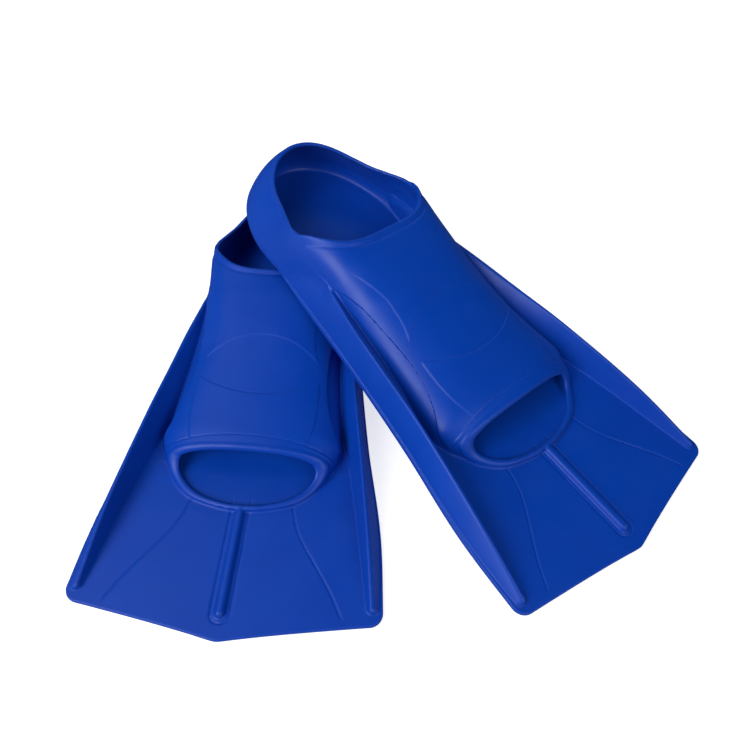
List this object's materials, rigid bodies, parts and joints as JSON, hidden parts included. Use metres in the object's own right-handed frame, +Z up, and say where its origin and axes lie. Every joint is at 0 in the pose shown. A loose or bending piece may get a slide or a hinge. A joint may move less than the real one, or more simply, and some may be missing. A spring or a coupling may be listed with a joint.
{
  "type": "swim fins",
  "caption": "Pair of short royal-blue moulded silicone training swim fins with closed heels, open toes, side rails and a centre rib, one lying across the other.",
  "frame": {"origin": "centre of the pair's bounding box, on the surface that the fins lie on", "axes": "+Z up; +Y from the left fin's blade tip to its heel; +X to the wearer's right, where the right fin's blade lies"},
  "size_m": [0.3635, 0.3533, 0.1017],
  "materials": {
    "pocket_silicone": "satin, smooth moulded",
    "blade_silicone": "satin, slightly duller than the pocket",
    "rail_silicone": "satin"
  },
  "bodies": {
    "left_foot": {"left_sole_plate": "blade_silicone", "left_foot_pocket": "pocket_silicone", "left_toe_lip": "pocket_silicone", "left_outer_rail_rear": "rail_silicone", "left_inner_rail_rear": "rail_silicone"},
    "left_heel": {"left_heel_cup": "pocket_silicone"},
    "left_blade_root": {"left_blade_root_web": "blade_silicone", "left_rib_root": "rail_silicone", "left_outer_rail_middle": "rail_silicone", "left_inner_rail_middle": "rail_silicone"},
    "left_blade_tip": {"left_blade_tip_web": "blade_silicone", "left_rib_tip": "rail_silicone", "left_outer_rail_tip": "rail_silicone", "left_inner_rail_tip": "rail_silicone"},
    "right_foot": {"right_sole_plate": "blade_silicone", "right_foot_pocket": "pocket_silicone", "right_toe_lip": "pocket_silicone", "right_outer_rail_rear": "rail_silicone", "right_inner_rail_rear": "rail_silicone"},
    "right_heel": {"right_heel_cup": "pocket_silicone"},
    "right_blade_root": {"right_blade_root_web": "blade_silicone", "right_rib_root": "rail_silicone", "right_outer_rail_middle": "rail_silicone", "right_inner_rail_middle": "rail_silicone"},
    "right_blade_tip": {"right_blade_tip_web": "blade_silicone", "right_rib_tip": "rail_silicone", "right_outer_rail_tip": "rail_silicone", "right_inner_rail_tip": "rail_silicone"}
  },
  "joints": [
    {"name": "left_blade_flex", "type": "hinge", "parent": "left_foot", "child": "left_blade_root", "pos_m": [-0.0955, -0.1043, 0.0021], "axis": [-1, 0, 0], "range_deg": [-20, 20], "stiffness_Nm_per_rad": 2},
    {"name": "left_tip_flex", "type": "hinge", "parent": "left_blade_root", "child": "left_blade_tip", "pos_m": [-0.0955, -0.1383, 0.0021], "axis": [-1, 0, 0], "range_deg": [-16, 16], "stiffness_Nm_per_rad": 1},
    {"name": "left_heel_pull", "type": "hinge", "parent": "left_foot", "child": "left_heel", "pos_m": [-0.0955, 0.177, 0.00438], "axis": [-1, 0, 0], "range_deg": [0, 25], "stiffness_Nm_per_rad": 1.5},
    {"name": "right_blade_flex", "type": "hinge", "parent": "right_foot", "child": "right_blade_root", "pos_m": [0.08419, -0.0537, 0.01638], "axis": [-0.7097, -0.7027, 0.0501], "range_deg": [-20, 20], "stiffness_Nm_per_rad": 2},
    {"name": "right_tip_flex", "type": "hinge", "parent": "right_blade_root", "child": "right_blade_tip", "pos_m": [0.10753, -0.0777, 0.0104], "axis": [-0.7097, -0.7027, 0.0501], "range_deg": [-16, 16], "stiffness_Nm_per_rad": 1},
    {"name": "right_heel_pull", "type": "hinge", "parent": "right_foot", "child": "right_heel", "pos_m": [-0.10851, 0.14462, 0.06804], "axis": [-0.7097, -0.7027, 0.0501], "range_deg": [0, 25], "stiffness_Nm_per_rad": 1.5},
    {"name": "right_fin_lift", "type": "slide", "parent": "left_foot", "child": "right_foot", "axis": [0, 0, 1], "range_m": [0, 0.12]}
  ],
  "couplings": [
    {"joint": "left_tip_flex", "follows": "left_blade_flex", "ratio": 0.8},
    {"joint": "right_tip_flex", "follows": "right_blade_flex", "ratio": 0.8}
  ]
}
